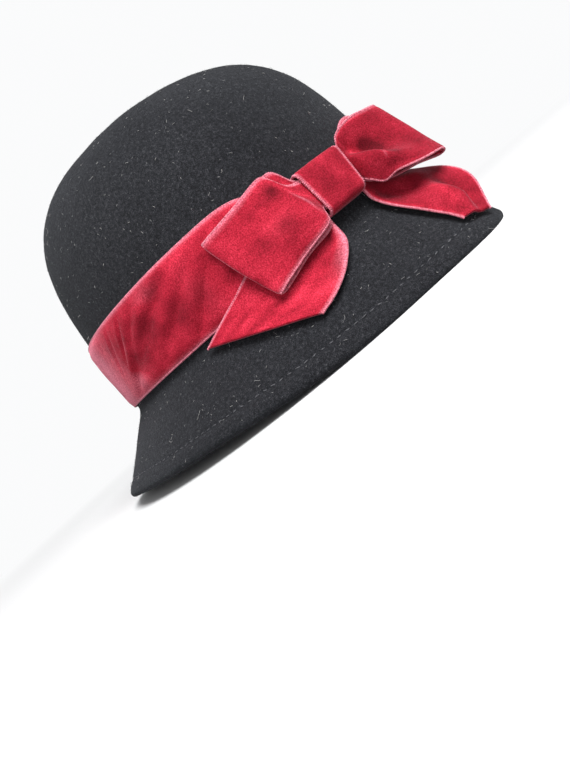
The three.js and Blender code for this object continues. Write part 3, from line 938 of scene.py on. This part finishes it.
def beads_tree():
    """Small oval beads along every edge line: stitches, or the loops of a woven edge."""
    tree, given, result = node_tree(
        "beads along a line",
        [
            ("Pitch", FLOAT),
            ("Length", FLOAT),
            ("Thickness", FLOAT),
            ("Waver", FLOAT),
            ("Seed", WHOLE),
            ("Finish", MATERIAL),
        ],
    )
    line = add(tree, "GeometryNodeMeshToCurve", Mesh=given.outputs["Geometry"])
    spaced = add(
        tree,
        "GeometryNodeResampleCurve",
        {"mode": "LENGTH"},
        Curve=out(line, "Curve"),
        Length=given.outputs["Pitch"],
    )
    tangent = add(tree, "GeometryNodeInputTangent")
    low = add(tree, "ShaderNodeMath", {"operation": "MULTIPLY"})
    tree.links.new(given.outputs["Waver"], low.inputs[0])
    low.inputs[1].default_value = -1
    ends = []
    for sign in (low.outputs["Value"], given.outputs["Waver"]):
        ends.append(add(tree, "ShaderNodeCombineXYZ", X=sign, Y=sign, Z=sign))
    waver = add(
        tree,
        "FunctionNodeRandomValue",
        {"data_type": "FLOAT_VECTOR"},
        Min=out(ends[0], "Vector"),
        Max=out(ends[1], "Vector"),
        Seed=given.outputs["Seed"],
    )
    aim = add(tree, "ShaderNodeVectorMath", {"operation": "ADD"})
    tree.links.new(tangent.outputs["Tangent"], aim.inputs[0])
    tree.links.new(out(waver, "Value"), aim.inputs[1])
    facing = add(
        tree, "FunctionNodeAlignRotationToVector", {"axis": "X"}, Vector=aim.outputs["Vector"]
    )
    ball = add(tree, "GeometryNodeMeshUVSphere", Segments=6, Rings=4, Radius=0.5)
    size = add(
        tree,
        "ShaderNodeCombineXYZ",
        X=given.outputs["Length"],
        Y=given.outputs["Thickness"],
        Z=given.outputs["Thickness"],
    )
    shaped = add(
        tree, "GeometryNodeTransform", Geometry=out(ball, "Mesh"), Scale=out(size, "Vector")
    )
    set_out = add(
        tree,
        "GeometryNodeInstanceOnPoints",
        Points=out(spaced, "Curve"),
        Instance=out(shaped, "Geometry"),
        Rotation=out(facing, "Rotation"),
    )
    real = add(tree, "GeometryNodeRealizeInstances", Geometry=out(set_out, "Instances"))
    finished = add(
        tree,
        "GeometryNodeSetMaterial",
        Geometry=out(real, "Geometry"),
        Material=given.outputs["Finish"],
    )
    tree.links.new(out(finished, "Geometry"), result.inputs["Geometry"])
    return tree


def fibres_tree():
    """Short bent fibres lying loosely on a surface."""
    tree, given, result = node_tree(
        "fibres on a surface",
        [
            ("Density", FLOAT),
            ("Length", FLOAT),
            ("Thickness", FLOAT),
            ("Stand", FLOAT),
            ("Curl", FLOAT),
            ("Curl size", FLOAT),
            ("Bends", WHOLE),
            ("Seed", WHOLE),
            ("Finish", MATERIAL),
        ],
    )
    strewn = add(
        tree,
        "GeometryNodeDistributePointsOnFaces",
        Mesh=given.outputs["Geometry"],
        Density=given.outputs["Density"],
        Seed=given.outputs["Seed"],
    )
    full_turn = add(
        tree,
        "FunctionNodeRandomValue",
        {"data_type": "FLOAT"},
        Min=0.0,
        Max=2 * math.pi,
        Seed=given.outputs["Seed"],
    )
    spin = add(tree, "ShaderNodeCombineXYZ", Z=out(full_turn, "Value"))
    turned = add(
        tree,
        "FunctionNodeRotateRotation",
        {"rotation_space": "LOCAL"},
        Rotation=out(strewn, "Rotation"),
        Rotate_By=out(spin, "Vector"),
    )
    tip = add(tree, "ShaderNodeCombineXYZ", X=given.outputs["Length"], Z=given.outputs["Stand"])
    fibre = add(tree, "GeometryNodeCurvePrimitiveLine", End=out(tip, "Vector"))
    bent = add(
        tree,
        "GeometryNodeResampleCurve",
        Curve=out(fibre, "Curve"),
        Count=given.outputs["Bends"],
    )
    scale = add(
        tree,
        "FunctionNodeRandomValue",
        {"data_type": "FLOAT"},
        Min=SHORT_FIBRE,
        Max=LONG_FIBRE,
        Seed=given.outputs["Seed"],
    )
    laid = add(
        tree,
        "GeometryNodeInstanceOnPoints",
        Points=out(strewn, "Points"),
        Instance=out(bent, "Curve"),
        Rotation=out(turned, "Rotation"),
        Scale=out(scale, "Value"),
    )
    real = add(tree, "GeometryNodeRealizeInstances", Geometry=out(laid, "Instances"))
    position = add(tree, "GeometryNodeInputPosition")
    curls = add(
        tree,
        "ShaderNodeTexNoise",
        Vector=out(position, "Position"),
        Scale=given.outputs["Curl size"],
        Detail=1.0,
    )
    centred = add(tree, "ShaderNodeVectorMath", {"operation": "SUBTRACT"})
    tree.links.new(out(curls, "Color"), centred.inputs[0])
    centred.inputs[1].default_value = (0.5, 0.5, 0.5)
    pushed = add(tree, "ShaderNodeVectorMath", {"operation": "SCALE"}, Scale=given.outputs["Curl"])
    tree.links.new(centred.outputs["Vector"], pushed.inputs[0])
    curled = add(
        tree,
        "GeometryNodeSetPosition",
        Geometry=out(real, "Geometry"),
        Offset=out(pushed, "Vector"),
    )
    round_it = add(
        tree, "GeometryNodeCurvePrimitiveCircle", Resolution=3, Radius=given.outputs["Thickness"]
    )
    thick = add(
        tree,
        "GeometryNodeCurveToMesh",
        Curve=out(curled, "Geometry"),
        Profile_Curve=out(round_it, "Curve"),
    )
    thick.inputs["Fill Caps"].default_value = True
    finished = add(
        tree,
        "GeometryNodeSetMaterial",
        Geometry=out(thick, "Mesh"),
        Material=given.outputs["Finish"],
    )
    tree.links.new(out(finished, "Geometry"), result.inputs["Geometry"])
    return tree


def grown(name, base, tree, **values):
    """The plain mesh that a tree makes on a base mesh, as an object of its own."""
    modifier = base.modifiers.new(name, "NODES")
    modifier.node_group = tree
    for item in tree.interface.items_tree:
        key = item.name.replace(" ", "_")
        if item.in_out == "INPUT" and key in values:
            modifier[item.identifier] = values[key]
    evaluated = base.evaluated_get(bpy.context.evaluated_depsgraph_get())
    mesh = bpy.data.meshes.new_from_object(evaluated)
    mesh.name = name
    mesh.polygons.foreach_set("use_smooth", [True] * len(mesh.polygons))
    base.modifiers.remove(modifier)
    bpy.data.objects.remove(base)
    made = bpy.data.objects.new(name, mesh)
    bpy.context.scene.collection.objects.link(made)
    return made


def lines_object(name, lines):
    """A base of loose edges through lists of points; each is (points, closed)."""
    points, edges = [], []
    for line, closed in lines:
        start = len(points)
        points.extend(placed(np.asarray(line)).tolist())
        edges += [(start + i, start + i + 1) for i in range(len(line) - 1)]
        if closed:
            edges.append((start + len(line) - 1, start))
    mesh = bpy.data.meshes.new(name)
    mesh.from_pydata(points, edges, [])
    base = bpy.data.objects.new(name, mesh)
    bpy.context.scene.collection.objects.link(base)
    return base


beads = beads_tree()
fibres = fibres_tree()

seam_row = int(np.argmin(np.abs(felt_heights - HEM_TOP)))
outside_normals = -grid_normals(felt_outside, closed=True)
seam_outside = felt_outside[seam_row] + outside_normals[seam_row] * 0.05
seam_inside = felt_outside[seam_row] - outside_normals[seam_row] * (2 * EDGE_RADIUS + 0.05)
hem_stitches = grown(
    "hem_stitches",
    lines_object("hem_seam", [(seam_outside, True), (seam_inside, True)]),
    beads,
    Pitch=STITCH_PITCH * MM,
    Length=STITCH_LENGTH * MM,
    Thickness=STITCH_THREAD * MM,
    Waver=STITCH_WAVER,
    Seed=3,
    Finish=hem_thread,
)
finish_piece(hem_stitches, "felt_body")

for name, sheet in sheets.items():
    closed = name == "velvet_band"
    edges = [(sheet[:, 0], closed), (sheet[:, -1], closed)]
    selvedge = grown(
        name.replace("velvet", "selvedge"),
        lines_object(f"{name}_edges", edges),
        beads,
        Pitch=BEAD_PITCH * MM,
        Length=BEAD_LENGTH * MM,
        Thickness=BEAD_THREAD * MM,
        Waver=BEAD_WAVER,
        Seed=7,
        Finish=velvet_selvedge,
    )
    finish_piece(selvedge, nodes_of[name])


def surface_object(name, grid):
    """A bare surface through a grid that closes round the hat, to grow fibres on."""
    rows, count = grid.shape[:2]
    return object_of(name, grid.reshape(-1, 3), ring_faces(rows, count, joined=False), felt_nap)


felt_lint = grown(
    "felt_lint",
    surface_object("lint_ground", felt_outside),
    fibres,
    Density=LINT_PER_M2,
    Length=LINT_LENGTH * MM,
    Thickness=LINT_THREAD * MM,
    Stand=LINT_STAND * MM,
    Curl=LINT_CURL * MM,
    Curl_size=380.0,
    Bends=7,
    Seed=21,
    Finish=loose_lint,
)
finish_piece(felt_lint, "felt_body")

felt_flecks = grown(
    "felt_flecks",
    surface_object("fleck_ground", felt_outside),
    fibres,
    Density=FLECKS_PER_M2,
    Length=FLECK_LENGTH * MM,
    Thickness=LINT_THREAD * MM,
    Stand=FLECK_STAND * MM,
    Curl=FLECK_CURL * MM,
    Curl_size=900.0,
    Bends=4,
    Seed=33,
    Finish=loose_lint,
)
finish_piece(felt_flecks, "felt_body")

felt_fuzz = grown(
    "felt_fuzz",
    surface_object("fuzz_ground", felt_outside),
    fibres,
    Density=NAP_PER_M2,
    Length=NAP_LENGTH * MM,
    Thickness=NAP_THREAD * MM,
    Stand=NAP_STAND * MM,
    Curl=NAP_CURL * MM,
    Curl_size=1200.0,
    Bends=3,
    Seed=44,
    Finish=felt_nap,
)
finish_piece(felt_fuzz, "felt_body")


# Stage and view


def make_floor():
    """A wide pale table that fades into the white surroundings."""
    bpy.ops.mesh.primitive_circle_add(vertices=96, radius=FLOOR_RADIUS, fill_type="NGON")
    floor = bpy.context.active_object
    floor.name = "floor"
    material = bpy.data.materials.new("pale_table")
    material.use_nodes = True
    tree = material.node_tree
    tree.nodes.clear()
    output = tree.nodes.new("ShaderNodeOutputMaterial")
    matt = tree.nodes.new("ShaderNodeBsdfDiffuse")
    matt.inputs["Color"].default_value = (*TABLE, 1)
    glow = tree.nodes.new("ShaderNodeEmission")
    glow.inputs["Color"].default_value = (*SURROUND, 1)
    place = stretched(tree, object_coordinates(tree), (1, 1, 1))
    reach = tree.nodes.new("ShaderNodeVectorMath")
    reach.operation = "LENGTH"
    tree.links.new(place, reach.inputs[0])
    fade = tree.nodes.new("ShaderNodeMapRange")
    fade.interpolation_type = "SMOOTHSTEP"
    fade.inputs["From Min"].default_value, fade.inputs["From Max"].default_value = FLOOR_FADE
    tree.links.new(reach.outputs["Value"], fade.inputs["Value"])
    mix = tree.nodes.new("ShaderNodeMixShader")
    tree.links.new(fade.outputs["Result"], mix.inputs["Fac"])
    tree.links.new(matt.outputs["BSDF"], mix.inputs[1])
    tree.links.new(glow.outputs["Emission"], mix.inputs[2])
    tree.links.new(mix.outputs["Shader"], output.inputs["Surface"])
    floor.data.materials.append(material)
    floor.visible_diffuse = False


def make_surroundings():
    """Soft daylight from all round, behind a white backdrop that only the camera sees."""
    world = bpy.data.worlds.new("white_room")
    world.use_nodes = True
    background = world.node_tree.nodes["Background"]
    background.inputs["Color"].default_value = (*SURROUND, 1)
    background.inputs["Strength"].default_value = DAYLIGHT
    bpy.context.scene.world = world

    bpy.ops.mesh.primitive_uv_sphere_add(segments=48, ring_count=24, radius=0.98 * FLOOR_RADIUS)
    backdrop = bpy.context.active_object
    backdrop.name = "backdrop"
    material = bpy.data.materials.new("white_backdrop")
    material.use_nodes = True
    tree = material.node_tree
    tree.nodes.clear()
    output = tree.nodes.new("ShaderNodeOutputMaterial")
    glow = tree.nodes.new("ShaderNodeEmission")
    glow.inputs["Color"].default_value = (*SURROUND, 1)
    tree.links.new(glow.outputs["Emission"], output.inputs["Surface"])
    backdrop.data.materials.append(material)
    for ray in ("visible_diffuse", "visible_glossy", "visible_transmission", "visible_shadow"):
        setattr(backdrop, ray, False)


def soft_light(name, place, size, watts):
    """A round lamp that shines on the hat."""
    light = bpy.data.lights.new(name, "AREA")
    light.shape = "DISK"
    light.size = size
    light.energy = watts
    obj = bpy.data.objects.new(name, light)
    obj.location = place
    obj.rotation_euler = (Vector(LIT_POINT) - Vector(place)).to_track_quat("-Z", "Y").to_euler()
    bpy.context.scene.collection.objects.link(obj)


def make_camera():
    """The photograph's view, found from the crown, the band and the brim's edge."""
    level = math.cos(VIEW_RISE)
    sideways, forwards = math.sin(VIEW_AZIMUTH) * level, -math.cos(VIEW_AZIMUTH) * level
    back = Vector((sideways, forwards, math.sin(VIEW_RISE)))
    right = Vector((0, 0, 1)).cross(back).normalized()
    upright = Matrix((right, back.cross(right), back))
    roll = Matrix.Rotation(VIEW_ROLL, 3, "Z")
    aim = Vector((AIM_PIXEL[0] - PHOTO_WIDTH / 2, PHOTO_HEIGHT / 2 - AIM_PIXEL[1], -FOCAL_PIXELS))
    swing = Vector((0, 0, -1)).rotation_difference(aim.normalized()).to_matrix()
    to_camera = swing @ roll @ upright
    target = Vector((hat_place[0], hat_place[1] + AIM_SETBACK, AIM_HEIGHT))
    place = (target + back * VIEW_DISTANCE) * MM
    data = bpy.data.cameras.new("photo_view")
    data.lens = FOCAL_PIXELS * data.sensor_width / PHOTO_HEIGHT
    data.clip_start = 0.01
    camera = bpy.data.objects.new("photo_view", data)
    camera.matrix_world = Matrix.Translation(place) @ to_camera.transposed().to_4x4()
    bpy.context.scene.collection.objects.link(camera)
    bpy.context.scene.camera = camera


make_floor()
make_surroundings()
soft_light("ceiling", (-0.15, -0.95, 1.2), size=1.0, watts=36.0)
soft_light("side_fill", (-1.1, -0.55, 0.3), size=0.9, watts=3.5)
make_camera()
bpy.context.scene.view_settings.view_transform = "Standard"
